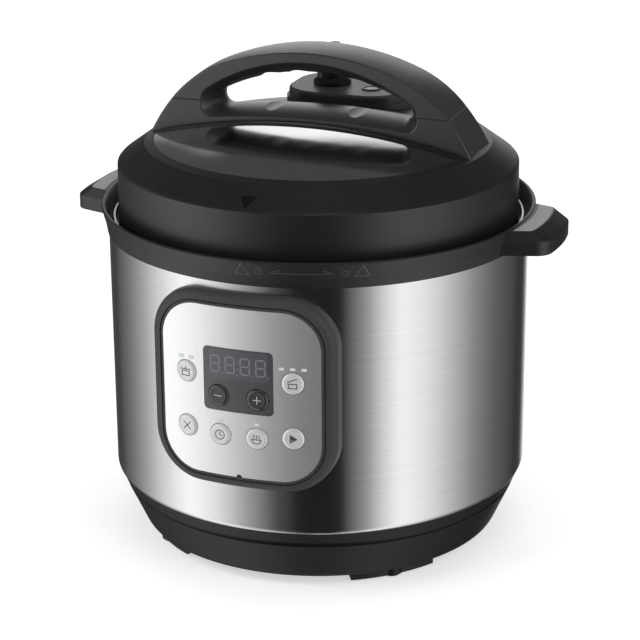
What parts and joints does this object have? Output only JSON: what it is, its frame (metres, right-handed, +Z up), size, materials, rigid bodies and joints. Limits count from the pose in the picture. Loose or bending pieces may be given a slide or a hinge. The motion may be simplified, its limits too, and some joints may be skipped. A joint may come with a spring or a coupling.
{
  "type": "electric pressure cooker",
  "caption": "Round electric pressure cooker with a steel body, a front touch panel, carrying ears, and a black lid with an arched handle that turns to unlock and lifts off.",
  "frame": {"origin": "middle of the footprint, on the table", "axes": "+Z up along the pot's axis, -Y towards the front panel, +X to the viewer's right facing the panel"},
  "size_m": [0.323, 0.2876, 0.3195],
  "materials": {
    "base_plastic": "satin moulded black",
    "rim_plastic": "satin moulded black",
    "bezel_plastic": "gloss moulded black",
    "hidden_plastic": "fine texture black",
    "foot_rubber": "soft matt",
    "screw_steel": "zinc plated",
    "shell_steel": "brushed around, clear lacquer",
    "inlay_grey": "silver-grey satin",
    "pressed_steel": "pressed and satin",
    "pot_steel": "spun satin",
    "lid_steel": "pressed satin",
    "cast_aluminium": "turned casting",
    "element_steel": "drawn",
    "pin_brass": "nickel plated",
    "board_laminate": "solder mask green",
    "drain_silicone": "translucent",
    "seal_silicone": "milky",
    "plate_silver": "silver film, fine grain",
    "window_smoke": "smoked clear sheet, read as dark",
    "display_black": "dark display face",
    "lens_white": "milky",
    "cup_plastic": "smoke tinted",
    "lid_plastic": "satin moulded black",
    "crescent_steel": "polished brushed",
    "handle_plastic": "satin moulded dark grey",
    "platform_plastic": "satin moulded black",
    "knob_plastic": "gloss black",
    "float_metal": "turned",
    "button_plastic": "silver satin cap"
  },
  "bodies": {
    "base": {"base_housing": "base_plastic", "foot_pads": "foot_rubber", "bottom_cover": "hidden_plastic", "cover_screws": "screw_steel", "outer_shell": "shell_steel", "top_rim": "rim_plastic", "ear_inlay_right": "inlay_grey", "ear_inlay_left": "inlay_grey", "drip_trough": "pressed_steel", "drain_tube": "drain_silicone", "pot_housing": "pressed_steel", "support_posts": "pressed_steel", "heating_plate": "cast_aluminium", "heating_element": "element_steel", "sensor_spring": "element_steel", "thermal_cutout": "hidden_plastic", "pressure_switch": "hidden_plastic", "power_board": "board_laminate", "inlet_socket": "hidden_plastic", "inlet_pins": "pin_brass", "cup_dock": "hidden_plastic", "panel_bezel": "bezel_plastic", "panel_plate": "plate_silver", "display_window": "window_smoke", "display_module": "display_black", "indicator_lenses": "lens_white", "control_board": "board_laminate", "board_screws": "screw_steel", "tact_switches": "hidden_plastic"},
    "pot": {"inner_pot": "pot_steel"},
    "lid": {"lid_cover": "lid_plastic", "crescent_plate": "crescent_steel", "lid_inner": "lid_steel", "lid_screws": "screw_steel", "sealing_ring": "seal_silicone", "seal_rack": "lid_steel", "steam_pipe": "pin_brass", "anti_block_shield": "lid_steel", "handle_base": "handle_plastic", "handle_grip": "handle_plastic", "valve_platform": "platform_plastic", "float_bush": "platform_plastic"},
    "knob": {"steam_knob": "knob_plastic"},
    "float": {"float_valve": "float_metal", "float_gasket": "seal_silicone"},
    "sensor": {"temperature_sensor": "cast_aluminium"},
    "cup": {"drip_cup": "cup_plastic"},
    "button_upper_left": {"button_upper_left": "button_plastic"},
    "button_upper_right": {"button_upper_right": "button_plastic"},
    "button_outer_left": {"button_outer_left": "button_plastic"},
    "button_outer_right": {"button_outer_right": "button_plastic"},
    "button_inner_left": {"button_inner_left": "button_plastic"},
    "button_inner_right": {"button_inner_right": "button_plastic"},
    "button_minus": {"button_minus": "button_plastic"},
    "button_plus": {"button_plus": "button_plastic"}
  },
  "joints": [
    {"name": "lid_turn", "type": "hinge", "parent": "base", "child": "pot", "pos_m": [0, 0, 0.2], "axis": [0, 0, 1], "range_deg": [0, 30]},
    {"name": "lid_lift", "type": "slide", "parent": "pot", "child": "lid", "axis": [0, 0, 1], "range_m": [0, 0.24]},
    {"name": "knob_turn", "type": "hinge", "parent": "lid", "child": "knob", "pos_m": [-0.013, 0.063, 0.293], "axis": [0, 0, 1], "range_deg": [0, 70]},
    {"name": "float_rise", "type": "slide", "parent": "lid", "child": "float", "axis": [0, 0, 1], "range_m": [0, 0.0035]},
    {"name": "sensor_press", "type": "slide", "parent": "base", "child": "sensor", "axis": [0, 0, 1], "range_m": [-0.002, 0], "stiffness_N_per_m": 800, "springref_m": 0.003, "deforming": ["sensor_spring"]},
    {"name": "cup_pull", "type": "slide", "parent": "base", "child": "cup", "axis": [0, 1, 0], "range_m": [0, 0.05]},
    {"name": "button_upper_left_press", "type": "slide", "parent": "base", "child": "button_upper_left", "axis": [0.1805, 0.9836, 0], "range_m": [0, 0.0006], "stiffness_N_per_m": 600},
    {"name": "button_upper_right_press", "type": "slide", "parent": "base", "child": "button_upper_right", "axis": [-0.1805, 0.9836, 0], "range_m": [0, 0.0006], "stiffness_N_per_m": 600},
    {"name": "button_outer_left_press", "type": "slide", "parent": "base", "child": "button_outer_left", "axis": [0.1805, 0.9836, 0], "range_m": [0, 0.0006], "stiffness_N_per_m": 600},
    {"name": "button_outer_right_press", "type": "slide", "parent": "base", "child": "button_outer_right", "axis": [-0.1805, 0.9836, 0], "range_m": [0, 0.0006], "stiffness_N_per_m": 600},
    {"name": "button_inner_left_press", "type": "slide", "parent": "base", "child": "button_inner_left", "axis": [0.0621, 0.9981, 0], "range_m": [0, 0.0006], "stiffness_N_per_m": 600},
    {"name": "button_inner_right_press", "type": "slide", "parent": "base", "child": "button_inner_right", "axis": [-0.0621, 0.9981, 0], "range_m": [0, 0.0006], "stiffness_N_per_m": 600},
    {"name": "button_minus_press", "type": "slide", "parent": "base", "child": "button_minus", "axis": [0.0658, 0.9978, 0], "range_m": [0, 0.0006], "stiffness_N_per_m": 600},
    {"name": "button_plus_press", "type": "slide", "parent": "base", "child": "button_plus", "axis": [-0.0658, 0.9978, 0], "range_m": [0, 0.0006], "stiffness_N_per_m": 600}
  ]
}
